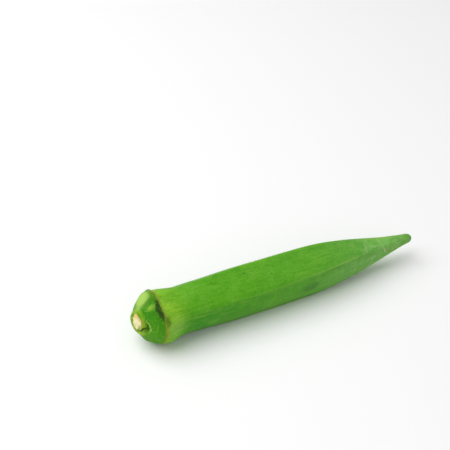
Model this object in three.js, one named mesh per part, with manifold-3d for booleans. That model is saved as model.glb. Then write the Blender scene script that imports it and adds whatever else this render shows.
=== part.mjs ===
// An okra pod, picked and lying on its side, in millimetres.
// The cut stem points to -X, the tip to +X, and the pod rests on the plane Z = 0.
import * as THREE from 'three';
import { mergeVertices } from 'three/addons/utils/BufferGeometryUtils.js';
import Module from 'manifold-3d';

const { degToRad, radToDeg, smoothstep } = THREE.MathUtils;

// Outline of the pod before it is bent: [distance from the cut, radius at a ridge].
const LENGTH = 119.8;
const CUT_END = [[0.5, 0], [0.45, 2.0], [0.3, 3.3], [0, 3.9]];
const CAP = [[0.3, 4.4], [1.3, 5.4], [2.6, 6.95], [4.3, 8.4], [6.2, 9.7]];
const SCAR_RING = [[7.9, 10.35], [8.35, 10.55], [8.7, 10.8], [9.05, 10.55], [9.5, 10.45]];
const NECK = [[11.8, 10.3], [14.5, 9.85], [18.5, 9.4]];
const BELLY = [[26, 10.0], [38, 10.6], [52, 10.7], [65, 10.45], [77, 9.85]];
const TAPER = [[89, 7.95], [100, 5.5], [108.5, 3.55]];
const TIP = [[114.5, 2.5], [117.9, 2.3], [119.4, 1.2], [LENGTH, 0]];

// The ridges: how many, how strongly they stand out, and between which distances that changes.
// At strength 0 the section is round, and at 1 its sides are flat.
const RIDGES = 5;
const RIDGE_SPACING = 360 / RIDGES;
const RIDGE_SOFTNESS = 3; // degrees over which a crest is rounded
const RIDGE_AT_CAP = { strength: 0.2, from: 7, to: 10 };
const RIDGE_GAIN_ON_BELLY = { strength: 0.65, from: 11, to: 36 };
const RIDGE_LOSS_AT_TIP = { strength: 0.45, from: 92, to: 118 };

// How the ridges wind round the pod, and how they crowd towards its far side, in degrees.
const TWIST = 33; // from the cap to the tip
const TWIST_POWER = 3.6; // most of the twist is near the tip
const CROWDING = { angle: 10.5, away: 17 };

// Swellings and a fold of the cap, each with its middle in degrees round and in distance from the cut.
const FOLDS = [
  { round: -9, halfWidth: 26, along: 4.9, halfLength: 4.4, height: 0.65 },
  { round: 33, halfWidth: 15, along: 4.8, halfLength: 4.0, height: 0.5 },
  { round: 150, halfWidth: 70, along: 2.4, halfLength: 2.6, height: 0.8 },
  { round: 252, halfWidth: 36, along: 4.8, halfLength: 4.2, height: 0.4 },
];

// The stub of the stem is off centre, and its cut is slanted.
const STUB_SHIFT = { y: -1.0, z: 0.9, from: 0, to: 9 };
const CUT_RADIUS = 4.4;
const CUT_SLANT = { angle: 12, faces: 70, from: 0.3, to: 6.5 }; // faces is degrees round

// The neck behind the ring hangs a little.
const NECK_SINK = { depth: 0.2, start: [7, 12], end: [14, 28] };

// The torn nick beside the cut: a ramp up from the pith to a step in the cap.
const NICK = { along: 2.7, round: 78, floorRadius: 3.7, width: 5.4, reach: 2.4, drop: 2.4, bow: 0.45 };
const NICK_DEPTH = 6; // deep enough to come out of the cap
const NICK_STEPS = 5;

// The pod's own bend, and how it lies.
const BEND = { y: -4.0, z: 2.1 }; // how far the tip is off a straight line
const NOSE_DOWN = 2.22; // degrees that the tip end dips, so that ring and belly both rest
const REST_DEPTH = 0.26; // how much is flat where the pod rests

// How finely the skin is divided.
const STEPS_ROUND = 72;
const STEPS_PER_OUTLINE_POINT = 2;

// A share that goes softly from 0 to the part's strength between its two distances.
function grown(along, { strength, from, to }) {
  return strength * smoothstep(along, from, to);
}

// Section of the pod: 1 on a ridge and less between the ridges.
function ridgedShare(along, round) {
  const toNearest = Math.abs(round / RIDGE_SPACING - Math.round(round / RIDGE_SPACING)) * RIDGE_SPACING;
  const fromCrest = Math.min(Math.hypot(toNearest, RIDGE_SOFTNESS), RIDGE_SPACING / 2);
  const midFace = Math.cos(degToRad(RIDGE_SPACING / 2));
  const flatFace = midFace / Math.cos(degToRad(RIDGE_SPACING / 2 - fromCrest));
  const strength = grown(along, RIDGE_AT_CAP) + grown(along, RIDGE_GAIN_ON_BELLY)
    - grown(along, RIDGE_LOSS_AT_TIP);
  return 1 - strength * (1 - flatFace);
}

// How far the cap swells out at a place.
function foldHeight(along, round) {
  let height = 0;
  for (const fold of FOLDS) {
    const aside = THREE.MathUtils.euclideanModulo(round - fold.round + 180, 360) - 180;
    const shareRound = 1 - smoothstep(Math.abs(aside), 0, fold.halfWidth);
    const shareAlong = 1 - smoothstep(Math.abs(along - fold.along), 0, fold.halfLength);
    height += fold.height * shareRound * shareAlong;
  }
  return height;
}

// Angle from the top towards -Y at which a line along the pod lies, with its twist.
function turnedAngle(along, round) {
  const twist = TWIST * Math.max(along / LENGTH, 0) ** TWIST_POWER;
  return degToRad(round - twist - CROWDING.angle * Math.cos(degToRad(round - CROWDING.away)));
}

// The point of the skin at a place of the outline and an angle round it.
function skinPoint(along, radius, round) {
  const reach = radius * ridgedShare(along, round) + foldHeight(along, round);
  const angle = turnedAngle(along, round);
  const stub = 1 - smoothstep(along, STUB_SHIFT.from, STUB_SHIFT.to);
  const sink = smoothstep(along, ...NECK_SINK.start) * (1 - smoothstep(along, ...NECK_SINK.end));
  const slant = Math.tan(degToRad(CUT_SLANT.angle)) * (1 - smoothstep(along, CUT_SLANT.from, CUT_SLANT.to));
  const x = along + slant * Math.min(reach, CUT_RADIUS) * (1 + Math.cos(angle - degToRad(CUT_SLANT.faces)));
  const y = -reach * Math.sin(angle) + STUB_SHIFT.y * stub;
  const z = reach * Math.cos(angle) + STUB_SHIFT.z * stub - NECK_SINK.depth * sink;
  const share = x / LENGTH;
  const slopeY = 2 * BEND.y * share / LENGTH;
  const slopeZ = 2 * BEND.z * share / LENGTH;
  return new THREE.Vector3(x - z * slopeZ - y * slopeY, y + BEND.y * share ** 2, z + BEND.z * share ** 2);
}

// The whole skin: the outline turned round its axis, then every point put where the pod has it.
function skinGeometry() {
  const places = [...CUT_END, ...CAP, ...SCAR_RING, ...NECK, ...BELLY, ...TAPER, ...TIP];
  const curve = new THREE.SplineCurve(places.map(([along, radius]) => new THREE.Vector2(radius, along)));
  const outline = curve.getPoints(STEPS_PER_OUTLINE_POINT * (places.length - 1));
  outline[0].x = 0;
  outline[outline.length - 1].x = 0;
  const geometry = new THREE.LatheGeometry(outline, STEPS_ROUND);
  const position = geometry.getAttribute('position');
  for (let i = 0; i < position.count; i += 1) {
    const radius = Math.hypot(position.getX(i), position.getZ(i));
    const round = radToDeg(Math.atan2(position.getX(i), position.getZ(i)));
    const point = skinPoint(position.getY(i), radius, round);
    position.setXYZ(i, point.x, point.y, point.z);
  }
  return geometry;
}

// A wedge with a curved back, which cuts the nick.
function nickGeometry() {
  const half = NICK.width / 2;
  const shape = new THREE.Shape();
  shape.moveTo(-NICK.reach, half);
  shape.lineTo(0, half);
  shape.quadraticCurveTo(NICK.reach * NICK.bow, 0, 0, -half);
  shape.lineTo(-NICK.reach, -half);
  const settings = { depth: NICK_DEPTH, bevelEnabled: false, curveSegments: NICK_STEPS };
  const wedge = new THREE.ExtrudeGeometry(shape, settings);
  const tilt = new THREE.Matrix4().makeRotationY(-Math.atan2(NICK.drop, NICK.reach));
  const lift = new THREE.Matrix4().makeTranslation(0, 0, NICK.floorRadius);
  const turn = new THREE.Matrix4().makeRotationX(degToRad(NICK.round));
  const place = new THREE.Matrix4().makeTranslation(NICK.along, STUB_SHIFT.y, STUB_SHIFT.z);
  wedge.applyMatrix4(tilt).applyMatrix4(lift).applyMatrix4(turn).applyMatrix4(place);
  return wedge;
}

// What lies below the resting plane.
function groundGeometry() {
  const thickness = 20;
  return new THREE.BoxGeometry(2 * LENGTH, LENGTH, thickness).translate(LENGTH / 2, 0, -thickness / 2);
}

const wasm = await Module();
wasm.setup();

// A closed geometry as a solid that can be joined and cut.
function solidOf(geometry) {
  const bare = geometry.clone();
  bare.deleteAttribute('normal');
  bare.deleteAttribute('uv');
  const merged = mergeVertices(bare, 1e-4);
  const corners = merged.getIndex().array;
  const triVerts = [];
  for (let i = 0; i < corners.length; i += 3) {
    const [a, b, c] = corners.slice(i, i + 3);
    if (a !== b && b !== c && c !== a) {
      triVerts.push(a, b, c);
    }
  }
  const vertProperties = merged.getAttribute('position').array;
  const mesh = new wasm.Mesh({ numProp: 3, vertProperties, triVerts: Uint32Array.from(triVerts) });
  return new wasm.Manifold(mesh);
}

// The surface of a solid.
function geometryOf(solid) {
  const { vertProperties, triVerts } = solid.getMesh();
  const geometry = new THREE.BufferGeometry();
  geometry.setAttribute('position', new THREE.BufferAttribute(vertProperties, 3));
  geometry.setIndex(new THREE.BufferAttribute(triVerts, 1));
  geometry.computeVertexNormals();
  return geometry;
}

// The pod laid down: dipped, lowered until its low places are flat, and centred over its box.
function lyingPod() {
  const skin = geometryOf(solidOf(skinGeometry()).subtract(solidOf(nickGeometry())));
  skin.rotateY(degToRad(NOSE_DOWN));
  skin.computeBoundingBox();
  skin.translate(0, 0, -skin.boundingBox.min.z - REST_DEPTH);
  const pod = geometryOf(solidOf(skin).subtract(solidOf(groundGeometry())));
  pod.computeBoundingBox();
  const centre = pod.boundingBox.getCenter(new THREE.Vector3());
  return pod.translate(-centre.x, -centre.y, 0);
}

const podSkin = new THREE.MeshStandardMaterial({ color: 0x5da52f, roughness: 0.5, metalness: 0 });
const okraPod = new THREE.Mesh(lyingPod(), podSkin);
okraPod.name = 'okra_pod';

const group = new THREE.Group();
group.add(okraPod);

export default group;
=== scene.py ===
# An okra pod, picked and lying on its side: ridged skin, lobed cap, ring scar, cut stem and fine hairs.
import math
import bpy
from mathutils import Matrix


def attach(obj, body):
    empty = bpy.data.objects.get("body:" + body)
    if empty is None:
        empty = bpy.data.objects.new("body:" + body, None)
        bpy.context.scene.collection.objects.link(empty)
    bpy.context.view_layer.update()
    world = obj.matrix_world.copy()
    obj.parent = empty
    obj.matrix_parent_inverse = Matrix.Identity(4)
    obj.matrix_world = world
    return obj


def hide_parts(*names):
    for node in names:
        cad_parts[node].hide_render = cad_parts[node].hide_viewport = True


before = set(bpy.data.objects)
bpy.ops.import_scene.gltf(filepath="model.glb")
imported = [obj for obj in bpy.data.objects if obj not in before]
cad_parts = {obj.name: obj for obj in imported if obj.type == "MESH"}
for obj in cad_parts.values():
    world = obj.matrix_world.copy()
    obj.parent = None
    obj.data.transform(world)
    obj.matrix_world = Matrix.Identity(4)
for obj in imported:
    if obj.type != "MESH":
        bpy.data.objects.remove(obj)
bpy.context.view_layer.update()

from types import SimpleNamespace

import bpy
import numpy as np
from mathutils import Vector

MM = 0.001

# Outline of the pod before it is bent: (distance from the cut, radius at a ridge), in millimetres.
LENGTH = 119.8
CUT_END = [(0.5, 0), (0.45, 2.0), (0.3, 3.3), (0, 3.9)]
CAP = [(0.3, 4.4), (1.3, 5.4), (2.6, 6.95), (4.3, 8.4), (6.2, 9.7)]
SCAR_RING = [(7.9, 10.35), (8.35, 10.55), (8.7, 10.8), (9.05, 10.55), (9.5, 10.45)]
NECK = [(11.8, 10.3), (14.5, 9.85), (18.5, 9.4)]
BELLY = [(26, 10.0), (38, 10.6), (52, 10.7), (65, 10.45), (77, 9.85)]
TAPER = [(89, 7.95), (100, 5.5), (108.5, 3.55)]
TIP = [(114.5, 2.4), (117.9, 1.9), (119.3, 1.15), (LENGTH, 0)]

# Swellings and a fold of the cap: (degrees round, half width, distance along, half length, height).
FOLDS = [
    (-9, 26, 4.9, 4.4, 0.65),
    (33, 15, 4.8, 4.0, 0.5),
    (150, 70, 2.4, 2.6, 0.8),
    (252, 36, 4.8, 4.2, 0.4),
]
RING_AT = 8.7
PITH_RADIUS = 2.85
PITH_ROUGHNESS = 0.5
RIM_RADIUS = 4.4

# Where a form is absent and where it is full, in millimetres from the cut.
RIDGES_ON_CAP = (7, 10)
RIDGES_ON_BELLY = (11, 36)
RIDGES_AT_TIP = (92, 118)
SLANT_FADE = (6.5, 0.3)
STUB_FADE = (9, 0)
NECK_SINKS = (7, 12)
NECK_RISES = (28, 14)
TIP_LIFTS = (102, 120)
VEINS_START = (9.3, 12)
VEINS_FAINTER = (30, 70)
VEINS_END = (119, 108)
CREST_LINES_START = (14, 30)
CREST_LINES_END = (117, 110)

# Where the ring and the cap are rounded off below: (degrees round, half width).
RING_UNDERSIDE = (134, 46)
CAP_UNDERSIDE = (132, 52)

# Bands of the ring and the cap: (middle in millimetres from the cut, half length).
NECK_FILL = (RING_AT + 3.6, 3.6)
RING_FRONT = (RING_AT - 0.9, 3.2)
RING_CREST = (RING_AT, 0.85)
RING_WANDERS = (RING_AT, 2.2)
RING_LEANS = (RING_AT, 3.0)
MID_CAP = (4.4, 4.4)

# The torn nick: how its back bows and frays, and the tear that parts its flap from its floor.
NICK_BOW = 0.29
NICK_RAGGEDNESS = 0.5
TEAR_SLOPE = 1.05
TEAR_AT = 4.25
TEAR_SOFTNESS = 0.15

# Bands beside the nick's edges: (middle in millimetres past the edge, half width).
NICK_LIP = (0.2, 0.28)
NICK_FOOT = (-0.05, 0.17)
NICK_SPLIT = (-0.3, 0.55)
FOOT_SHARE = 0.62  # depth of the crevice at the foot, as a share of that in the split

# What the form of the skin follows, in millimetres and degrees: the named inputs of its tree.
FORM = {
    "Ridges": 5,
    "Ridge softness": 3,
    "Ridge strength at cap": 0.2,
    "Ridge gain on belly": 0.65,
    "Ridge loss at tip": 0.45,
    "Ridge line height": 0.07,
    "Twist": 33,
    "Crowding": 10.5,
    "Crowding away": 17,
    "Fold height": 1.0,
    "Stub shift Y": -1.0,
    "Stub shift Z": 0.9,
    "Cut slant": 12,
    "Cut faces": 70,
    "Neck sink": 0.2,
    "Bend Y": -4.0,
    "Bend Z": 2.1,
    "Tip lift": 0.8,
    "Nose down": 2.22,
    "Rest depth": 0.26,
    "Nick along": 2.7,
    "Nick round": 78,
    "Nick floor": 3.7,
    "Nick half width": 2.7,
    "Nick reach": 2.4,
    "Nick drop": 2.4,
    "Crevice depth": 1.0,
    "Lip height": 0.35,
    "Flap height": 0.5,
    "Vein height": 0.05,
    "Swell": 0.16,
    "Ring wander": 0.22,
    "Ring lean": 0.4,
    "Ring softening": 0.36,
    "Cap softening": 0.3,
    "Seed": 7,
}
TWIST_POWER = 3.6
WHOLE_SIZES = ("Seed", "Count")  # inputs that are whole numbers

# How finely the skin is divided: columns round it, and (distance from the cut, step along it there).
COLUMNS = 240
STEPS_ALONG = [(0, 0.155), (12, 0.2015), (24, 0.56), (95, 0.56), (114, 0.4), (LENGTH, 0.2)]
OUTLINE_STEPS = 60

# Hairs, ring fibres and pith fibres, in millimetres and degrees: the named inputs of their trees.
HAIR = {"Density": 4.2, "Length": 0.42, "Thickness": 0.014, "Lean": 38, "Seed": 11}
RING_FIBRE = {"Count": 150, "Length": 0.6, "Thickness": 0.04, "Scatter": 0.32, "Splay": 26, "Seed": 5}
PITH_FIBRE = {"Count": 44, "Length": 0.5, "Thickness": 0.1, "Scatter": 0.3, "Splay": 60, "Seed": 3}

HAIR_GROWTH = (0.45, 1.0)
FIBRE_GROWTH = (0.5, 1.2)
HAIR_SPIN = 6.0  # radians, nearly a full turn

# Hairs on the cap, as a share of those on the body, and where hairs are absent and where they are full:
# by height over the floor, and by travel from the middle of the cut.
HAIRS_ON_CAP = 0.08
HAIRS_OFF_FLOOR = (0.5, 1.6)
HAIRS_OFF_CUT = (5.0, 7.0)

# The body's colour from the cut to the tip: (share of the length, screen colour).
BODY_STOPS = [
    (0.07, (138, 192, 40)),
    (0.11, (118, 184, 30)),
    (0.17, (86, 164, 14)),
    (0.35, (84, 162, 18)),
    (0.6, (88, 162, 36)),
    (0.76, (92, 164, 54)),
    (0.9, (122, 190, 88)),
    (0.965, (102, 170, 62)),
    (1.0, (100, 168, 60)),
]

# Soft marks on the skin: (degrees round, half width, distance along, half length).
# The neck's painted highlight, over its own yellow-green.
NECK_HIGHLIGHT = (56, 34, 12.2, 6)
PALE_NECK = (86, 30, 13, 5)
BRUISE = (110, 12, 107.6, 1.7)
DULL_PATCH = (104, 24, 70, 7)
# The cap's bump and fold carry painted highlights.
BUMP_HIGHLIGHT = (-12, 34, 4.2, 4.5)
FOLD_HIGHLIGHT = (29, 8, 4.8, 2.6)
DARK_BY_RING = (42, 33, RING_AT - 1.15, 1.75)
OLIVE_DIP = (69, 17, RING_AT + 1.0, 1.9)

LONG_SCRATCH_AT = 104.3
SHORT_SCRATCH_AT = 97.4

# How fine the noises of the skin are, in cells to a metre, and how high its finest relief is, in metres.
MOTTLE_SCALE = 210
BLOTCH_SCALE = 420
SPECK_SCALE = 420
FUZZ_SCALE = 1500
GRAIN_SCALE = 2600
RELIEF_HEIGHT = 0.00006

# The camera, fitted to the photograph: its lens in millimetres, its angles in degrees, the rest in metres.
LENS = 85
SENSOR = 36
CAMERA_TURN = -28.0
CAMERA_RISE = 38.0
CAMERA_DISTANCE = 0.3783
CAMERA_TARGET = Vector((-0.02247, 0.0, 0.0424))
NEAREST_SEEN = 0.01

# The studio, in metres and watts.
FLOOR_HALF = 3.0
LIT_POINT = Vector((0, 0, 0.01))
SKY_STRENGTH = 0.42


class Value:
    """One output of a node, which takes part in plain expressions."""

    def __init__(self, tree, socket):
        self.tree = tree
        self.socket = socket

    def maths(self, operation, *others):
        return self.tree.add("ShaderNodeMath", {"operation": operation}, [self, *others])

    def output(self, name):
        return Value(self.tree, self.socket.node.outputs[name])

    def __add__(self, other):
        return self.maths("ADD", other)

    def __radd__(self, other):
        return self.maths("ADD", other)

    def __sub__(self, other):
        return self.maths("SUBTRACT", other)

    def __rsub__(self, other):
        return self.tree.add("ShaderNodeMath", {"operation": "SUBTRACT"}, [other, self])

    def __mul__(self, other):
        return self.maths("MULTIPLY", other)

    def __rmul__(self, other):
        return self.maths("MULTIPLY", other)

    def __truediv__(self, other):
        return self.maths("DIVIDE", other)

    def __rtruediv__(self, other):
        return self.tree.add("ShaderNodeMath", {"operation": "DIVIDE"}, [other, self])

    def __pow__(self, other):
        return self.maths("POWER", other)


class Tree:
    """A node tree that is built by expressions."""

    def __init__(self, nodes):
        self.nodes = nodes

    def add(self, kind, settings=(), values=(), output=0):
        """A node of that kind, with its settings made first, then its sockets' values or links."""
        node = self.nodes.nodes.new(kind)
        for name, setting in dict(settings).items():
            if name == "stops":
                self.set_stops(node.color_ramp, setting)
            else:
                setattr(node, name, setting)
        pairs = values.items() if isinstance(values, dict) else enumerate(values)
        for key, value in pairs:
            if isinstance(value, Value):
                self.nodes.links.new(value.socket, node.inputs[key])
            else:
                node.inputs[key].default_value = value
        return Value(self, node.outputs[output])

    @staticmethod
    def set_stops(ramp, stops):
        while len(ramp.elements) < len(stops):
            ramp.elements.new(1.0)
        for element, (place, colour) in zip(ramp.elements, stops):
            element.position = place
            element.color = colour

    def smooth(self, value, low, high):
        """A soft step from 0 at low to 1 at high, where high may be the lower of the two."""
        return self.add("ShaderNodeMapRange", {"interpolation_type": "SMOOTHSTEP"}, [value, low, high])

    def band(self, value, middle, half):
        """1 at middle, falling softly to 0 at half on either side."""
        return self.smooth((value - middle).maths("ABSOLUTE"), half, 0.0)

    def sector(self, around, middle, half):
        """1 at an angle round the pod, falling softly to 0 at half on either side of it."""
        return self.band((around - middle).maths("WRAP", 180, -180), 0, half)

    def cosine(self, degrees):
        return (degrees * math.radians(1)).maths("COSINE")

    def sine(self, degrees):
        return (degrees * math.radians(1)).maths("SINE")

    def vector(self, x, y, z):
        return self.add("ShaderNodeCombineXYZ", (), [x, y, z])

    def noise(self, place, scale, detail=2.0, roughness=0.5):
        values = {"Vector": place, "Scale": scale, "Detail": detail, "Roughness": roughness}
        return self.add("ShaderNodeTexNoise", {"noise_dimensions": "3D"}, values)

    def mix(self, share, first, second):
        """One colour laid over another by a share."""
        settings = {"data_type": "RGBA", "clamp_factor": True}
        return self.add("ShaderNodeMix", settings, {0: share, 6: first, 7: second}, output=2)

    def laid(self, base, share, strength, screen_colour):
        """A paint laid over a base by a share, and by the strength that it has where the share is 1."""
        return self.mix(share * strength, base, paint(*screen_colour))


class FormTree(Tree):
    """A geometry tree with named inputs for its sizes."""

    def __init__(self, name, sizes):
        super().__init__(bpy.data.node_groups.new(name, "GeometryNodeTree"))
        interface = self.nodes.interface
        interface.new_socket("Geometry", in_out="INPUT", socket_type="NodeSocketGeometry")
        for size in sizes:
            kind = "NodeSocketInt" if size in WHOLE_SIZES else "NodeSocketFloat"
            interface.new_socket(size, in_out="INPUT", socket_type=kind)
        interface.new_socket("Geometry", in_out="OUTPUT", socket_type="NodeSocketGeometry")
        self.entry = self.add("NodeGroupInput")

    def size(self, name):
        return self.entry.output(name)

    def attribute(self, name):
        return self.add("GeometryNodeInputNamedAttribute", {"data_type": "FLOAT"}, {"Name": name})

    def store(self, geometry, name, value):
        settings = {"data_type": "FLOAT", "domain": "POINT"}
        return self.add("GeometryNodeStoreNamedAttribute", settings,
                        {"Geometry": geometry, "Name": name, "Value": value})

    def placed(self, points, shape, rotation, growth):
        """A copy of a shape on every point, turned and grown."""
        return self.add("GeometryNodeInstanceOnPoints", (),
                        {"Points": points, "Instance": shape, "Rotation": rotation,
                         "Scale": self.vector(growth, growth, growth)})

    def random(self, low, high, seed):
        """A random number between two numbers, or a random vector between two vectors."""
        if isinstance(low, tuple):
            return self.add("FunctionNodeRandomValue", {"data_type": "FLOAT_VECTOR"},
                            {"Min": low, "Max": high, "Seed": seed})
        return self.add("FunctionNodeRandomValue", {"data_type": "FLOAT"},
                        {2: low, 3: high, "Seed": seed}, output=1)

    def scaled(self, vector, *factors):
        """A vector with each of its parts scaled."""
        return self.add("ShaderNodeVectorMath", {"operation": "MULTIPLY"}, [vector, self.vector(*factors)])

    def finish(self, geometry, material):
        """The tree's end: real meshes of one material, none of it under the resting plane."""
        real = self.add("GeometryNodeRealizeInstances", (), {"Geometry": geometry})
        here = self.add("ShaderNodeSeparateXYZ", (), [self.add("GeometryNodeInputPosition")])
        kept = self.vector(here.output("X"), here.output("Y"), here.output("Z").maths("MAXIMUM", 0.0))
        above = self.add("GeometryNodeSetPosition", (), {"Geometry": real, "Position": kept})
        painted = self.add("GeometryNodeSetMaterial", (), {"Geometry": above, "Material": material})
        self.add_end(painted)

    def add_end(self, geometry):
        end = self.nodes.nodes.new("NodeGroupOutput")
        self.nodes.links.new(geometry.socket, end.inputs[0])


def grown(name, base, tree, sizes):
    """The plain mesh object that a geometry tree makes of a base mesh."""
    maker = bpy.data.objects.new(name + "_maker", base)
    bpy.context.scene.collection.objects.link(maker)
    modifier = maker.modifiers.new("form", "NODES")
    modifier.node_group = tree.nodes
    for item in tree.nodes.interface.items_tree:
        if item.in_out == "INPUT" and item.name in sizes:
            size = sizes[item.name]
            modifier[item.identifier] = size if item.name in WHOLE_SIZES else float(size)
    depsgraph = bpy.context.evaluated_depsgraph_get()
    mesh = bpy.data.meshes.new_from_object(maker.evaluated_get(depsgraph), depsgraph=depsgraph)
    bpy.data.objects.remove(maker)
    mesh.name = name
    piece = bpy.data.objects.new(name, mesh)
    bpy.context.scene.collection.objects.link(piece)
    return piece


def paint(red, green, blue):
    """A screen colour of 0 to 255 as the linear colour that a material takes."""
    shares = [level / 255 for level in (red, green, blue)]
    linear = [s / 12.92 if s <= 0.04045 else ((s + 0.055) / 1.055) ** 2.4 for s in shares]
    return (*linear, 1.0)


# The skin

def spline(points, steps):
    """A smooth curve through the points, with as many steps between each two of them."""
    places = np.array([points[0], *points, points[-1]], float)
    shares = np.arange(steps) / steps
    runs = []
    for before, start, end, after in zip(places, places[1:], places[2:], places[3:]):
        t = shares[:, None]
        runs.append(0.5 * (2 * start + (end - before) * t
                           + (2 * before - 5 * start + 4 * end - after) * t ** 2
                           + (3 * start - before - 3 * end + after) * t ** 3))
    return np.vstack([*runs, places[-1:]])


def outline_rows():
    """The outline from the middle of the cut to the tip, closer set on the cap.

    It gives the distance from the cut, the radius and the travel over the skin.
    """
    points = CUT_END + CAP + SCAR_RING + NECK + BELLY + TAPER + TIP
    curve = spline(points, OUTLINE_STEPS)
    lengths = np.hypot(*np.diff(curve, axis=0).T)
    travel = np.concatenate([[0], np.cumsum(lengths)])
    along = curve[:, 0]
    step = np.interp(along, *zip(*STEPS_ALONG))
    counted = np.concatenate([[0], np.cumsum(lengths / ((step[1:] + step[:-1]) / 2))])
    rows = np.linspace(0, counted[-1], int(counted[-1]) + 1)
    return [np.interp(rows, counted, values) for values in (along, curve[:, 1], travel)]


def read_places(read, names):
    """Values that the skin carries at every point, by name."""
    return SimpleNamespace(**{name: read(name) for name in names})


def skin_base():
    """The outline turned round its axis as a plain closed mesh, which carries each point's place."""
    along, radius, travel = outline_rows()
    inner = slice(1, len(along) - 1)
    rows = len(along) - 2
    around = np.arange(COLUMNS) * 360 / COLUMNS
    place = {
        "along": np.concatenate([[along[0]], np.repeat(along[inner], COLUMNS), [along[-1]]]),
        "radius": np.concatenate([[0.0], np.repeat(radius[inner], COLUMNS), [0.0]]),
        "travel": np.concatenate([[travel[0]], np.repeat(travel[inner], COLUMNS), [travel[-1]]]),
        "around": np.concatenate([[0.0], np.tile(around, rows), [0.0]]),
    }
    angle = np.radians(place["around"])
    spacing = 360 / FORM["Ridges"]
    place["from_ridge"] = np.abs((place["around"] / spacing + 0.5) % 1 - 0.5) * spacing
    place["side_turn"] = np.sin(angle)
    place["top_turn"] = np.cos(angle)
    side = -place["radius"] * place["side_turn"]
    height = place["radius"] * place["top_turn"]
    points = np.stack([place["along"], side, height], 1)
    first = 1
    last = len(points) - 1
    faces = []
    for column in range(COLUMNS):
        following = (column + 1) % COLUMNS
        faces.append((0, first + following, first + column))
        faces.append((last, last - COLUMNS + column, last - COLUMNS + following))
        for row in range(rows - 1):
            here = first + row * COLUMNS
            there = here + COLUMNS
            faces.append((here + column, here + following, there + following, there + column))
    mesh = bpy.data.meshes.new("skin_base")
    mesh.from_pydata((points * MM).tolist(), [], faces)
    mesh.polygons.foreach_set("use_smooth", [True] * len(mesh.polygons))
    for name, values in place.items():
        mesh.attributes.new(name, "FLOAT", "POINT").data.foreach_set("value", values.astype(np.float32))
    return mesh


def ridged_share(t, at, spacing):
    """The section's share of the radius: 1 on a crest and less between the crests."""
    half_spacing = spacing * 0.5
    softened = (at.from_ridge ** 2 + t.size("Ridge softness") ** 2) ** 0.5
    flat_face = t.cosine(half_spacing) / t.cosine(half_spacing - softened.maths("MINIMUM", half_spacing))
    strength = (t.size("Ridge strength at cap") * t.smooth(at.along, *RIDGES_ON_CAP)
                + t.size("Ridge gain on belly") * t.smooth(at.along, *RIDGES_ON_BELLY)
                - t.size("Ridge loss at tip") * t.smooth(at.along, *RIDGES_AT_TIP))
    return 1 - strength * (1 - flat_face)


def cap_swelling(t, at):
    """How far the cap swells out in its folds."""
    folds = 0
    for middle, half_width, distance, half_length, height in FOLDS:
        across = t.sector(at.around, middle, half_width)
        folds = height * across * t.band(at.along, distance, half_length) + folds
    return t.size("Fold height") * folds


def fine_relief(t, at):
    """Slow swelling, lengthwise veins and a thin line on each crest."""
    seed = t.size("Seed")
    swell_place = t.vector(at.along * 0.05, at.side_turn + seed, at.top_turn)
    off_cut = t.smooth(at.travel, 4.0, 9.0)
    swell = (t.noise(swell_place, 1.3, detail=1.5) - 0.5) * t.size("Swell") * off_cut
    vein_place = t.vector(at.along * 0.012, at.side_turn * 4 + seed, at.top_turn * 4)
    fainter = 1 - 0.6 * t.smooth(at.along, *VEINS_FAINTER)
    vein_fade = t.smooth(at.along, *VEINS_START) * fainter * t.smooth(at.along, *VEINS_END)
    vein_noise = t.noise(vein_place, 3.2, detail=3, roughness=0.6) - 0.5
    veins = vein_noise * t.size("Vein height") * 2 * vein_fade
    line_fade = t.smooth(at.along, *CREST_LINES_START) * t.smooth(at.along, *CREST_LINES_END)
    crest_line = t.size("Ridge line height") * t.smooth(at.from_ridge, 2.2, 0.3) * line_fade
    return swell, veins, crest_line


def softened_underside(t, at, reach):
    """The reach with cap and ring rounded off low on the viewer's side, and the neck behind them filled."""
    neck_fill = t.band(at.along, *NECK_FILL) * 0.8
    front_loss = t.band(at.along, *RING_FRONT) * 1.5
    crest_loss = t.band(at.along, *RING_CREST) * 0.8
    softened_ring = neck_fill - front_loss - crest_loss
    cap_below = t.sector(at.around, *CAP_UNDERSIDE) * t.band(at.along, *MID_CAP)
    return (reach + at.ring_below * softened_ring * t.size("Ring softening")
            - cap_below * t.size("Cap softening"))


def place_along(t, at, reach):
    """Where a point comes along the pod: a slanted cut, a rough pith, a ring that wanders and leans."""
    seed = t.size("Seed")
    slant = (t.size("Cut slant") * math.radians(1)).maths("TANGENT") * t.smooth(at.along, *SLANT_FADE)
    slanted = slant * reach.maths("MINIMUM", RIM_RADIUS) * (1 + t.cosine(at.angle - t.size("Cut faces")))
    pith_place = t.vector(at.side_turn * at.radius, at.top_turn * at.radius * 0.35, seed)
    on_pith = t.smooth(at.travel, PITH_RADIUS + 0.2, PITH_RADIUS - 0.7)
    pith = (t.noise(pith_place, 2.2, detail=3) - 0.5) * PITH_ROUGHNESS * on_pith
    ring_place = t.vector(at.side_turn * 2, at.top_turn * 2, seed)
    ring_noise = (t.noise(ring_place, 2.6, detail=2) - 0.5) * 2
    wander = ring_noise * t.size("Ring wander") * t.band(at.along, *RING_WANDERS)
    lean = at.ring_below * t.band(at.along, *RING_LEANS) * t.size("Ring lean")
    return at.along + slanted + pith + wander - lean


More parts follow.
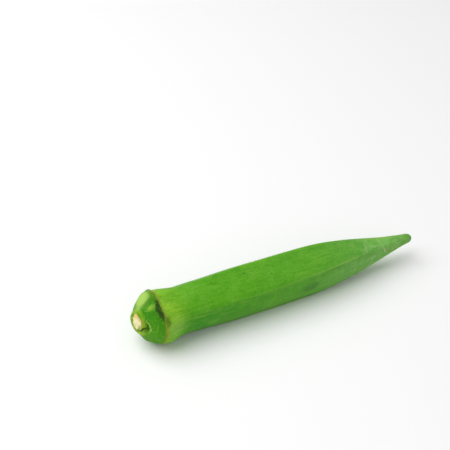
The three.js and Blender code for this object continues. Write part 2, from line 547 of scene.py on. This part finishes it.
def torn_nick(t, at, x, reach):
    """A ramp down from the cut and a step at its far side, with a lip, a flap and a crevice.

    It gives the new reach and the shares that the material reads.
    """
    from_nick = at.angle - t.size("Nick round")
    facing = t.cosine(from_nick)
    below = reach * t.sine(from_nick)
    aside = below.maths("ABSOLUTE")
    half = t.size("Nick half width")
    bow = 1 - (aside / half) ** 2
    back = t.size("Nick along") + bow.maths("MAXIMUM", -1.0) * NICK_BOW * t.size("Nick reach")
    back = back + (t.noise(t.vector(below, t.size("Seed"), 0.0), 1.1) - 0.5) * NICK_RAGGEDNESS
    slope = t.size("Nick drop") / t.size("Nick reach")
    floor = (t.size("Nick floor") + (x - t.size("Nick along")) * slope) / facing.maths("MAXIMUM", 0.3)

    # The flap lies past a tear that runs aslant over the ramp.
    tear = below + x * TEAR_SLOPE
    flap = t.smooth(tear, TEAR_AT - TEAR_SOFTNESS, TEAR_AT + TEAR_SOFTNESS)
    floor = floor + flap * t.size("Flap height")
    near_side = t.smooth(facing, 0.2, 0.4)
    across = t.smooth(aside - half, 0.2, -0.25) * near_side
    inside = across * t.smooth(x - back, 0.12, -0.12)
    sunk = reach.maths("MINIMUM", floor)
    nicked = inside * t.smooth(reach - sunk, 0.02, 0.3)
    lip = t.band(x - back, *NICK_LIP) * t.smooth(aside - half, 0.5, -0.4) * near_side

    # The crevice runs down the tear and along the foot of the step.
    split = t.band(tear - TEAR_AT, *NICK_SPLIT) * t.smooth(below, 0.4, 0.9)
    split = split * t.smooth(x, 0.4, 0.8) * t.smooth(x, 3.3, 3.0)
    foot = t.band(x - back, *NICK_FOOT) * t.smooth(below, -2.0, -1.0) * t.smooth(below, 2.0, 1.3)
    crevice = split.maths("MAXIMUM", foot * FOOT_SHARE) * t.smooth(facing, -0.2, 0.1)
    reach = reach + (sunk - reach) * inside + lip * t.size("Lip height") - crevice * t.size("Crevice depth")
    return reach, {"nick": nicked, "lip": lip, "crevice": crevice, "flap": flap * nicked}


def laid_point(t, at, x, reach):
    """The point itself, off centre at the stub, bent and dipped, in metres."""
    stub = t.smooth(at.along, *STUB_FADE)
    y = t.size("Stub shift Y") * stub - reach * t.sine(at.angle)
    sink = t.size("Neck sink") * t.smooth(at.along, *NECK_SINKS) * t.smooth(at.along, *NECK_RISES)
    lift = t.size("Tip lift") * t.smooth(at.along, *TIP_LIFTS)
    z = t.size("Stub shift Z") * stub + reach * t.cosine(at.angle) - sink + lift
    share = x / LENGTH
    bent_x = x - (z * t.size("Bend Z") + y * t.size("Bend Y")) * share * 2 / LENGTH
    bent_y = y + t.size("Bend Y") * share ** 2
    bent_z = z + t.size("Bend Z") * share ** 2
    dip = t.size("Nose down")
    dipped_x = bent_x * t.cosine(dip) + bent_z * t.sine(dip)
    dipped_z = bent_z * t.cosine(dip) - bent_x * t.sine(dip)
    return t.vector(dipped_x * MM, bent_y * MM, dipped_z * MM)


def settled(t, shaped):
    """The pod lowered until it lies on the resting plane, and centred over its box."""
    position = t.add("GeometryNodeInputPosition")
    extent = t.add("GeometryNodeAttributeStatistic", {"data_type": "FLOAT_VECTOR"}, {"Geometry": shaped})
    node = extent.socket.node
    measured = next(s for s in node.inputs if s.name == "Attribute" and s.enabled)
    t.nodes.links.new(position.socket, measured)
    outputs = {s.name: Value(t, s) for s in node.outputs if s.enabled}
    low = t.add("ShaderNodeSeparateXYZ", (), [outputs["Min"]])
    high = t.add("ShaderNodeSeparateXYZ", (), [outputs["Max"]])
    here = t.add("ShaderNodeSeparateXYZ", (), [position])
    middle_x = (low.output("X") + high.output("X")) * 0.5
    middle_y = (low.output("Y") + high.output("Y")) * 0.5
    lowered = here.output("Z") - low.output("Z") - t.size("Rest depth") * MM
    centred = t.vector(here.output("X") - middle_x, here.output("Y") - middle_y, lowered)
    return t.add("GeometryNodeSetPosition", (), {"Geometry": shaped, "Position": centred})


def pod_form_tree(material):
    """The pod's form, worked out for every point of the base.

    It makes ridges, swellings, slanted cut, nick, bend and rest.
    """
    t = FormTree("pod form", FORM)
    at = read_places(t.attribute, ["along", "radius", "around", "travel", "side_turn", "top_turn"])
    spacing = 360 / t.size("Ridges")
    steps = at.around / spacing
    at.from_ridge = (steps - steps.maths("ROUND")).maths("ABSOLUTE") * spacing
    at.ring_below = t.sector(at.around, *RING_UNDERSIDE)

    # The angle from the top towards -Y, with the twist and the crowding of the ridges.
    twist = t.size("Twist") * ((at.along / LENGTH).maths("MAXIMUM", 0.0) ** TWIST_POWER)
    crowding = t.size("Crowding") * t.cosine(at.around - t.size("Crowding away"))
    at.angle = at.around - twist - crowding

    swollen = cap_swelling(t, at)
    reach = at.radius * ridged_share(t, at, spacing) + swollen
    for relief in fine_relief(t, at):
        reach = reach + relief
    reach = softened_underside(t, at, reach)
    x = place_along(t, at, reach)
    reach, shares = torn_nick(t, at, x, reach)
    marked = t.entry
    for name, share in {**shares, "swollen": swollen}.items():
        marked = t.store(marked, name, share)
    laid = laid_point(t, at, x, reach)
    shaped = t.add("GeometryNodeSetPosition", (), {"Geometry": marked, "Position": laid})
    t.finish(settled(t, shaped), material)
    return t


# Small things that grow on the skin

def hair_tree(material):
    """Short tapered hairs, scattered over the skin and leaning every way."""
    t = FormTree("pod hairs", HAIR)
    seed = t.size("Seed")
    here = t.add("ShaderNodeSeparateXYZ", (), [t.add("GeometryNodeInputPosition")])
    behind_ring = t.smooth(t.attribute("along"), RING_AT - 0.5, RING_AT + 1.5)
    on_cap = HAIRS_ON_CAP + (1 - HAIRS_ON_CAP) * behind_ring
    off_floor = t.smooth(here.output("Z"), *(height * MM for height in HAIRS_OFF_FLOOR))
    off_cut = t.smooth(t.attribute("travel"), *HAIRS_OFF_CUT)
    density = t.size("Density") * (off_floor * off_cut * on_cap) / (MM * MM)
    scatter = t.add("GeometryNodeDistributePointsOnFaces", {"distribute_method": "RANDOM"},
                    {"Mesh": t.entry, "Density": density, "Seed": seed})
    cone = t.add("GeometryNodeMeshCone", {"fill_type": "TRIANGLE_FAN"},
                 {"Vertices": 3, "Side Segments": 1, "Radius Top": 0.0,
                  "Radius Bottom": t.size("Thickness") * MM, "Depth": t.size("Length") * MM})
    lean = t.size("Lean") * math.radians(1)
    turn = t.random((-1.0, -1.0, 0.0), (1.0, 1.0, HAIR_SPIN), seed)
    twist = t.add("FunctionNodeEulerToRotation", (), [t.scaled(turn, lean, lean, 1.0)])
    upright = scatter.output("Rotation")
    turned = t.add("FunctionNodeRotateRotation", {"rotation_space": "LOCAL"}, [upright, twist])
    grow = t.random(*HAIR_GROWTH, seed + 1)
    t.finish(t.placed(scatter, cone, turned, grow), material)
    return t


def fibre_tree(name, sizes, material):
    """Thin spindles laid end over end along a line, each a little off it."""
    t = FormTree(name, sizes)
    seed = t.size("Seed")
    path = t.add("GeometryNodeMeshToCurve", (), {"Mesh": t.entry})
    even = t.add("GeometryNodeResampleCurve", {"mode": "COUNT"}, {"Curve": path, "Count": t.size("Count")})
    scatter = t.size("Scatter") * MM
    shift = t.random((-1.0, -1.0, -1.0), (1.0, 1.0, 1.0), seed)
    offset = t.scaled(shift, scatter, scatter * 0.3, scatter * 0.3)
    moved = t.add("GeometryNodeSetPosition", (), {"Geometry": even, "Offset": offset})
    spindle = t.add("GeometryNodeMeshUVSphere", (), {"Segments": 5, "Rings": 4, "Radius": 0.5 * MM})
    thickness = t.size("Thickness") * 2
    shaped = t.add("GeometryNodeTransform", (),
                   {"Geometry": spindle, "Scale": t.vector(thickness, thickness, t.size("Length") * 2)})
    tangent = t.add("GeometryNodeInputTangent")
    along_path = t.add("FunctionNodeAlignRotationToVector", {"axis": "Z"}, {"Vector": tangent})
    splay = t.size("Splay") * math.radians(1)
    swing = t.random((-1.0, -1.0, 0.0), (1.0, 1.0, 0.0), seed + 1)
    swung = t.add("FunctionNodeEulerToRotation", (), [t.scaled(swing, splay, splay, 0.0)])
    turned = t.add("FunctionNodeRotateRotation", {"rotation_space": "LOCAL"}, [along_path, swung])
    grow = t.random(*FIBRE_GROWTH, seed + 2)
    t.finish(t.placed(moved, shaped, turned, grow), material)
    return t


def carried(skin, name):
    """One of the values that the finished skin carries, for all its points."""
    values = np.zeros(len(skin.data.vertices), np.float32)
    skin.data.attributes[name].data.foreach_get("value", values)
    return values


def skin_line(skin, name, key, wanted):
    """A closed line of edges round the pod, through the row of points that is nearest a wanted value."""
    travel = carried(skin, "travel")
    rows, firsts = np.unique(travel, return_index=True)
    row = rows[np.abs(carried(skin, key)[firsts] - wanted).argmin()]
    points = [tuple(skin.data.vertices[i].co) for i in np.nonzero(travel == row)[0]]
    edges = [(i, (i + 1) % len(points)) for i in range(len(points))]
    mesh = bpy.data.meshes.new(name)
    mesh.from_pydata(points, edges, [])
    return mesh


# Materials

def material_tree(name):
    """A new material, and the tree that its nodes are added to."""
    material = bpy.data.materials.new(name)
    material.use_nodes = True
    tree = Tree(material.node_tree)
    material.node_tree.nodes.clear()
    return material, tree


def finish_material(tree, colour, roughness, bump=None, bump_height=0.0, fixed=()):
    """The shader itself: colour, roughness and bump vary, the rest is set on its own sockets."""
    values = {"Base Color": colour, "Roughness": roughness, **dict(fixed)}
    if bump is not None:
        values["Normal"] = tree.add("ShaderNodeBump", (),
                                    {"Height": bump, "Distance": bump_height, "Strength": 1.0})
    shader = tree.add("ShaderNodeBsdfPrincipled", (), values)
    end_material(tree, shader)


def end_material(tree, shader):
    end = tree.nodes.nodes.new("ShaderNodeOutputMaterial")
    tree.nodes.links.new(shader.socket, end.inputs["Surface"])


def object_place(tree):
    """A point's place from the object's origin, in metres."""
    return tree.add("ShaderNodeTexCoord", (), (), output="Object")


def skin_attribute(tree, name):
    return tree.add("ShaderNodeAttribute", {"attribute_name": name}, (), output="Fac")


def streaky_noise(t, at, lengthwise, crosswise, scale, **kind):
    """Noise that is drawn out along the pod."""
    place = t.vector(at.along * lengthwise, at.side_turn * crosswise, at.top_turn * crosswise)
    return t.noise(place, scale, **kind)


def round_noise(t, at, crosswise, lengthwise, scale, **kind):
    """Noise that changes most on the way round the pod."""
    place = t.vector(at.side_turn * crosswise, at.top_turn * crosswise, at.along * lengthwise)
    return t.noise(place, scale, **kind)


def patch(t, at, mark, shift_round=0.0, shift_along=0.0):
    """The share of a soft mark: 1 in its middle and 0 past its half width and half length."""
    middle, half_width, distance, half_length = mark
    across = t.band(at.around + shift_round, middle, half_width)
    return across * t.band(at.along + shift_along, distance, half_length)


def oval(at, mark, slope=0.0):
    """The share of an oval mark, from 1.1 in its middle to below 0, which may lean round the pod."""
    middle, half_width, distance, half_length = mark
    across = (at.around - middle - at.along * slope) / half_width
    lengthwise = (at.along - distance) / half_length
    return 1.1 - (across ** 2 + lengthwise ** 2) ** 0.5


def mottled(t, base, noise, *layers):
    """A base with paints laid over it by a noise.

    A layer is its level where it is absent, its level where it is full, its strength and its colour.
    """
    for absent, full, strength, colour in layers:
        base = t.laid(base, t.smooth(noise, absent, full), strength, colour)
    return base


def body_colour(t, at):
    """The body: yellow-green by the ring, mid green on the belly, bluish and paler at the tip."""
    stops = [(share, paint(*colour)) for share, colour in BODY_STOPS]
    body = t.add("ShaderNodeValToRGB", {"stops": stops}, [at.along / LENGTH])

    # The lower side: painted shade, darker behind the neck and paler towards the tip; painted light at the
    # edge; and the bright neck with a painted highlight.
    shaded = at.lower * t.smooth(at.along, 13, 21) * (1 - 0.85 * t.smooth(at.along, 22, 58))
    body = t.laid(body, shaded, 0.9, (44, 138, 6))
    body = t.laid(body, at.lower * t.smooth(at.along, 60, 88), 0.6, (118, 182, 84))
    # Painted light along the lower edge.
    painted_light_low_edge = t.smooth(at.around, 98, 124) * t.smooth(at.along, 16, 30)
    body = t.laid(body, painted_light_low_edge, 0.2, (124, 190, 76))
    # Painted highlight on the yellow-green neck.
    body = t.laid(body, patch(t, at, NECK_HIGHLIGHT), 0.7, (160, 214, 48))
    body = t.laid(body, patch(t, at, PALE_NECK), 0.6, (146, 192, 84))

    # Streaks, patches and mottling, light and dark.
    broad = streaky_noise(t, at, 0.014, 2.6, 3.4, detail=3, roughness=0.6)
    body = mottled(t, body, broad, (0.5, 0.7, 0.15 + 0.3 * at.near_ring, (142, 194, 52)),
                   (0.5, 0.3, 0.4, (60, 142, 12)))
    body = mottled(t, body, at.streaks, (0.54, 0.7, 0.08 + 0.2 * at.near_ring, (160, 204, 82)),
                   (0.46, 0.3, 0.1 + 0.08 * at.near_ring, (62, 138, 12)))
    patches = streaky_noise(t, at, 0.06, 1.6, 3.0)
    body = mottled(t, body, patches, (0.52, 0.7, 0.35, (116, 178, 56)), (0.46, 0.3, 0.3, (66, 146, 22)))
    body = mottled(t, body, at.mottle, (0.5, 0.68, 0.18, (122, 184, 62)), (0.5, 0.32, 0.24, (54, 132, 18)))
    crest = t.smooth(at.from_ridge, 1.5, 0.3) * t.smooth(at.along, 28, 50) * t.smooth(at.along, 99, 85)
    return t.laid(body, crest, 0.28 + 0.4 * t.smooth(at.along, 66, 84), (158, 202, 78))


def worn_and_lit_body(t, at, body):
    """Pale scratches and dull blotches towards the tip, a bruise, painted light along the top edge near the
    tip, and a dull patch on the lower side.
    """
    worn = t.smooth(at.blotch, 0.46, 0.66) * t.smooth(at.along, 84, 100)
    body = t.laid(body, worn, 0.45, (146, 188, 116))
    scratches = streaky_noise(t, at, 0.09, 13, 2.2)
    broken = t.smooth(t.noise(at.place, 160), 0.5, 0.62)
    scratch = t.band(scratches, 0.5, 0.03) * broken * t.smooth(at.along, 78, 94)
    body = t.laid(body, scratch, 0.65, (194, 214, 158))

    # Two scratches across the pod.
    curved = at.along - at.around ** 2 * 0.00013
    long = t.band(curved, LONG_SCRATCH_AT, 0.3) * t.smooth(at.around, 6, 24) * t.smooth(at.around, 116, 100)
    body = t.laid(body, long, 0.3 + 0.5 * t.smooth(at.around, 60, 90), (206, 214, 160))
    slanting = at.along + (at.around - 40).maths("MAXIMUM", 0.0) * 0.03
    short = t.band(slanting, SHORT_SCRATCH_AT, 0.26) * t.band(at.around, 52, 30)
    body = t.laid(body, short, 0.5, (190, 208, 146))

    body = t.laid(body, patch(t, at, BRUISE), 0.8, (150, 128, 60))
    # Painted light along the top edge near the tip.
    lit_tip_top = t.smooth(at.around, 40, 0) * t.smooth(at.around, -60, -20) * t.smooth(at.along, 92, 110)
    body = t.laid(body, lit_tip_top, 0.6, (138, 188, 70))
    dull = patch(t, at, DULL_PATCH, shift_along=(at.mottle - 0.5) * 14)
    return t.laid(body, t.smooth(dull, 0.15, 0.8), 0.5, (56, 112, 44))


def cap_colour(t, at):
    """The cap: painted light on its swellings and painted shade between them, painted highlights on the
    bump and the fold, a darker band beside the ring, and painted shade below.
    """
    streaks = streaky_noise(t, at, 0.35, 2.4, 3.2, detail=4, roughness=0.6)
    # Painted shade between the swellings and painted light on them.
    valleys = t.mix(t.smooth(at.around, 45, 90), paint(52, 130, 0), paint(68, 144, 4))
    cap = t.mix(t.smooth(at.swollen, 0.1, 0.6), valleys, paint(84, 150, 16))
    cap = mottled(t, cap, streaks, (0.5, 0.72, 0.4, (120, 178, 44)), (0.48, 0.3, 0.35, (52, 128, 8)))
    cap = t.laid(cap, t.smooth(at.mottle, 0.5, 0.7), 0.2, (124, 182, 56))
    uneven = ((at.blotch - 0.5) * 1.2 + (streaks - 0.5) * 0.5) * 0.5
    # Painted highlights on the bump and the fold, made uneven by the noises.
    middle, half_width, distance, half_length = BUMP_HIGHLIGHT
    wider = half_width + 22 * t.smooth(at.around, -12, -34)
    lit_bump = oval(at, (middle, wider, distance, half_length))
    cap = t.laid(cap, t.smooth(lit_bump + uneven, 0.0, 0.8), 0.85, (170, 206, 98))
    lit_fold = oval(at, FOLD_HIGHLIGHT, slope=0.5)
    cap = t.laid(cap, t.smooth(lit_fold + uneven, 0.0, 1.0), 0.7, (140, 184, 56))
    # Painted shade in the hollow near the top of the cap.
    valley = t.band(at.around, 14, 11) * t.smooth(at.along, 1.6, 3.2)
    cap = t.laid(cap, valley, 0.75, (64, 126, 0))
    beside_ring = t.band(at.around, 2, 18) * t.smooth(at.along, 6.3, 7.8)
    cap = t.laid(cap, beside_ring, 0.65, (76, 130, 0))
    # Painted shade on the underside of the cap.
    underside = t.smooth(at.around, 92, 130)
    return t.laid(cap, underside, 0.5, (72, 128, 16))


def with_ring(t, at, colour):
    """The scar ring: a thin brown line with tan edges, ragged and broken."""
    broken = round_noise(t, at, 4, 0.3, 3.0, detail=3)
    fray = round_noise(t, at, 9, 0.0, 4.0, detail=3) - 0.5
    tan_edge = t.band(at.along + fray, RING_AT + 0.3, 0.9) * t.smooth(broken, 0.35, 0.6)
    colour = t.laid(colour, tan_edge, 0.65, (174, 172, 58))
    broad_edge = t.band(at.along + fray * 0.6, RING_AT + 0.1, 1.3) * t.smooth(at.around, 62, 84)
    colour = t.laid(colour, broad_edge, 0.55, (146, 158, 40))
    line = t.band(at.along + fray, RING_AT, 0.34) * (1 - 0.5 * t.smooth(at.around, 66, 88))
    return t.laid(colour, line, 0.15 + 0.75 * t.smooth(broken, 0.42, 0.58), (152, 122, 34))


def with_dark_by_ring(t, at, colour):
    """A dark ragged patch on the cap beside the ring, and the olive dip past it."""
    ragged = round_noise(t, at, 6, 0.5, 3.0, detail=4, roughness=0.65) - 0.5
    tapered = (at.around - DARK_BY_RING[0]).maths("ABSOLUTE") * 0.03
    dark_patch = patch(t, at, DARK_BY_RING, ragged * 26, ragged * 3.0 - tapered)
    dark_patch = dark_patch * (1 - t.smooth(at.along, RING_AT - 0.6, RING_AT) * t.smooth(at.around, 56, 44))
    colour = t.laid(colour, t.smooth(dark_patch, 0.03, 0.5), 0.9, (40, 62, 14))
    olive = patch(t, at, OLIVE_DIP, shift_along=ragged * 3.0)
    return t.laid(colour, t.smooth(olive, 0.08, 0.8), 0.75, (76, 112, 0))


def pith_colour(t, at):
    """The fibrous cream pith, with a tan patch above and a green shadow below."""
    pith = t.mix(t.smooth(at.fibres, 0.4, 0.54), paint(214, 196, 104), paint(255, 250, 206))
    pith = t.laid(pith, t.smooth(at.fibres, 0.44, 0.36), 0.7, (140, 148, 52))
    tan_patch = t.smooth(at.travel, 1.2, 2.6) * t.smooth(at.top_turn, 0.35, 0.9)
    pith = t.laid(pith, tan_patch * t.smooth(at.fibres, 0.35, 0.5), 0.7, (228, 190, 110))
    shaded = t.smooth(t.band(at.around, 118, 50), 0.0, 0.7) * t.smooth(at.travel, 0.7, 2.2)
    return t.laid(pith, shaded, 0.95, (140, 160, 50))


def with_cut(t, at, colour):
    """The cut end: a green rim, then the pith with a ragged edge."""
    jagged = at.travel + (round_noise(t, at, 5, 0.0, 2.0) - 0.5) * 1.4
    jagged = jagged - at.side_turn * 0.35 + t.band(at.around, 128, 55) * 1.5
    jagged = jagged - t.band(at.around, -6, 42) * 1.0 + t.band(at.around, -90, 45) * 0.35
    rim = t.smooth(at.travel - t.band(at.around, 16, 26) * 0.9, 6.0, 4.3)
    rim_colour = t.mix(t.band(at.around, 26, 30) * 0.85, paint(136, 176, 38), paint(98, 150, 0))
    colour = t.mix(rim, colour, rim_colour)
    pale_seam = t.band(at.around, -16, 11) * t.smooth(at.travel, 5.6, 5.0)
    colour = t.laid(colour, pale_seam, 0.45, (192, 194, 120))
    strength = 0.45 + 0.4 * t.band(at.around, 26, 24) + 0.3 * t.band(at.around, -80, 50)
    colour = t.laid(colour, t.band(jagged, 3.7, 0.7), strength, (88, 126, 4))
    return t.mix(t.smooth(jagged, PITH_RADIUS + 0.25, PITH_RADIUS - 0.05), colour, pith_colour(t, at))


def with_nick(t, at, colour):
    """The torn nick: yellow-green flesh and flap, a paler lip and painted shade, dark green, in the
    crevice.
    """
    torn = t.mix(t.smooth(at.fibres, 0.4, 0.6), paint(128, 158, 26), paint(156, 180, 52))
    torn = t.laid(torn, t.smooth(at.travel, 4.5, 5.7), 0.85, (84, 142, 6))
    flap = t.mix(t.smooth(at.travel, 4.1, 5.0), paint(138, 178, 62), paint(74, 128, 10))
    torn = t.mix(at.flap * 0.9, torn, flap)
    colour = t.mix(t.smooth(at.nick, 0.05, 0.5), colour, torn)
    lip = t.smooth(at.lip, 0.35, 0.85) * (1 - 0.6 * t.smooth(at.around, 84, 95))
    colour = t.laid(colour, lip, 0.9, (154, 182, 78))
    # Painted shade in the crevice and along the foot of the step.
    return t.laid(colour, t.smooth(at.crevice, 0.1, 0.5), 0.88, (26, 66, 0))


def with_specks(t, at, colour):
    """Small dark specks, and the fine unevenness of the fuzz."""
    cells = t.add("ShaderNodeTexVoronoi", {"feature": "F1"}, {"Vector": at.place, "Scale": SPECK_SCALE})
    speck = t.smooth(cells, 0.2, 0.1) * t.smooth(t.noise(at.place, 120), 0.56, 0.66)
    colour = t.laid(colour, speck, 0.8, (54, 60, 20))
    fuzz = t.noise(at.place, FUZZ_SCALE, roughness=0.6)
    off_cut = t.smooth(at.travel, 4.4, 5.4)
    return mottled(t, colour, fuzz, (0.52, 0.7, off_cut * 0.18, (150, 204, 86)),
                   (0.48, 0.3, off_cut * 0.22, (40, 108, 8)))


def skin_material():
    """The pod's skin, from the cream pith and green rim through the cap and ring to the bluish tip."""
    material, t = material_tree("okra_skin")
    at = read_places(lambda name: skin_attribute(t, name),
                     ["along", "travel", "from_ridge", "side_turn", "top_turn", "swollen",
                      "nick", "lip", "flap", "crevice"])
    turned = t.add("ShaderNodeMath", {"operation": "ARCTAN2"}, [at.side_turn, at.top_turn])
    at.around = turned * math.degrees(1)
    at.lower = t.smooth(at.around, 58, 92)
    at.near_ring = t.smooth(at.along, 32, 10) * (1 - 0.55 * at.lower)
    at.place = object_place(t)
    at.mottle = t.noise(at.place, MOTTLE_SCALE, detail=4, roughness=0.65)
    at.blotch = t.noise(at.place, BLOTCH_SCALE, detail=4, roughness=0.7)
    at.streaks = streaky_noise(t, at, 0.03, 5, 5.0, detail=3, roughness=0.6)
    fibre_place = t.vector(at.side_turn * at.travel * 2.4, at.top_turn * at.travel * 0.5, 0.0)
    at.fibres = t.noise(fibre_place, 2.6, detail=4, roughness=0.65)

    on_cap = t.smooth(at.along, RING_AT + 0.1, RING_AT - 0.1)
    colour = t.mix(on_cap, worn_and_lit_body(t, at, body_colour(t, at)), cap_colour(t, at))
    for with_part in (with_ring, with_dark_by_ring, with_cut, with_nick, with_specks):
        colour = with_part(t, at, colour)

    grain = t.noise(at.place, GRAIN_SCALE)
    roughness = 0.46 + 0.12 * t.smooth(at.mottle, 0.3, 0.7) + 0.06 * at.near_ring + 0.2 * on_cap
    relief = grain * 0.6 + t.smooth(at.streaks, 0.3, 0.7) * 0.5
    fixed = {"Subsurface Weight": 0.1, "Subsurface Radius": (0.5, 1.0, 0.2), "Subsurface Scale": 0.001,
             "Specular IOR Level": 0.18}
    finish_material(t, colour, roughness, relief, RELIEF_HEIGHT, fixed)
    return material


def hair_material():
    """Short hairs in two pale greens."""
    material, t = material_tree("pod_hair")
    colour = t.mix(t.noise(object_place(t), 300), paint(104, 166, 48), paint(158, 194, 104))
    finish_material(t, colour, 0.5)
    return material


def ring_fibre_material():
    """Dry brown and tan fibres of the scar ring."""
    material, t = material_tree("ring_fibre")
    dryness = t.noise(object_place(t), 900, detail=3)
    colour = t.mix(t.smooth(dryness, 0.4, 0.6), paint(150, 116, 42), paint(186, 178, 80))
    finish_material(t, colour, 0.75)
    return material


def pith_fibre_material():
    """Torn cream fibres round the pith."""
    material, t = material_tree("pith_fibre")
    colour = t.mix(t.noise(object_place(t), 1200), paint(206, 186, 104), paint(250, 240, 190))
    finish_material(t, colour, 0.6)
    return material


def floor_material():
    """A plain pale floor."""
    material, t = material_tree("pale_floor")
    colour = t.mix(t.noise(object_place(t), 4) * 0.3, (0.92, 0.92, 0.92, 1), (0.9, 0.9, 0.9, 1))
    finish_material(t, colour, 0.8)
    return material


# Camera, light and floor

def camera_direction():
    turn = math.radians(CAMERA_TURN)
    rise = math.radians(CAMERA_RISE)
    return Vector((math.sin(turn) * math.cos(rise), -math.cos(turn) * math.cos(rise), math.sin(rise)))


def aimed(thing, place, target):
    thing.location = place
    thing.rotation_euler = (target - place).to_track_quat("-Z", "Y").to_euler()


def make_camera():
    data = bpy.data.cameras.new("camera")
    data.lens = LENS
    data.sensor_width = SENSOR
    data.clip_start = NEAREST_SEEN
    camera = bpy.data.objects.new("camera", data)
    bpy.context.scene.collection.objects.link(camera)
    aimed(camera, CAMERA_TARGET + camera_direction() * CAMERA_DISTANCE, CAMERA_TARGET)
    bpy.context.scene.camera = camera


def soft_light(name, place, size, power):
    data = bpy.data.lights.new(name, "AREA")
    data.shape = "DISK"
    data.size = size
    data.energy = power
    light = bpy.data.objects.new(name, data)
    bpy.context.scene.collection.objects.link(light)
    aimed(light, Vector(place), LIT_POINT)


def make_studio():
    mesh = bpy.data.meshes.new("floor")
    corners = [(x * FLOOR_HALF, y * FLOOR_HALF, 0) for x, y in ((-1, -1), (1, -1), (1, 1), (-1, 1))]
    mesh.from_pydata(corners, [], [(0, 1, 2, 3)])
    mesh.materials.append(floor_material())
    floor = bpy.data.objects.new("floor", mesh)
    bpy.context.scene.collection.objects.link(floor)
    world = bpy.data.worlds.new("studio")
    world.use_nodes = True
    background = world.node_tree.nodes["Background"]
    background.inputs["Color"].default_value = (1, 1, 1, 1)
    background.inputs["Strength"].default_value = SKY_STRENGTH
    bpy.context.scene.world = world
    soft_light("key", (-0.38, 0.25, 0.75), size=1.1, power=7.6)
    soft_light("fill", (-0.3, -0.7, 0.45), size=0.6, power=0.8)
    bpy.context.scene.view_settings.view_transform = "Standard"


make_camera()
make_studio()

skin = grown("pod_skin", skin_base(), pod_form_tree(skin_material()), FORM)
hairs = grown("pod_hairs", skin.data.copy(), hair_tree(hair_material()), HAIR)
ring = grown("ring_fibres", skin_line(skin, "ring_line", "along", RING_AT),
             fibre_tree("ring fibres", RING_FIBRE, ring_fibre_material()), RING_FIBRE)
pith = grown("pith_fibres", skin_line(skin, "pith_line", "travel", PITH_RADIUS - 0.3),
             fibre_tree("pith fibres", PITH_FIBRE, pith_fibre_material()), PITH_FIBRE)

for piece in (skin, hairs, ring, pith):
    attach(piece, "root")
    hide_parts("okra_pod")
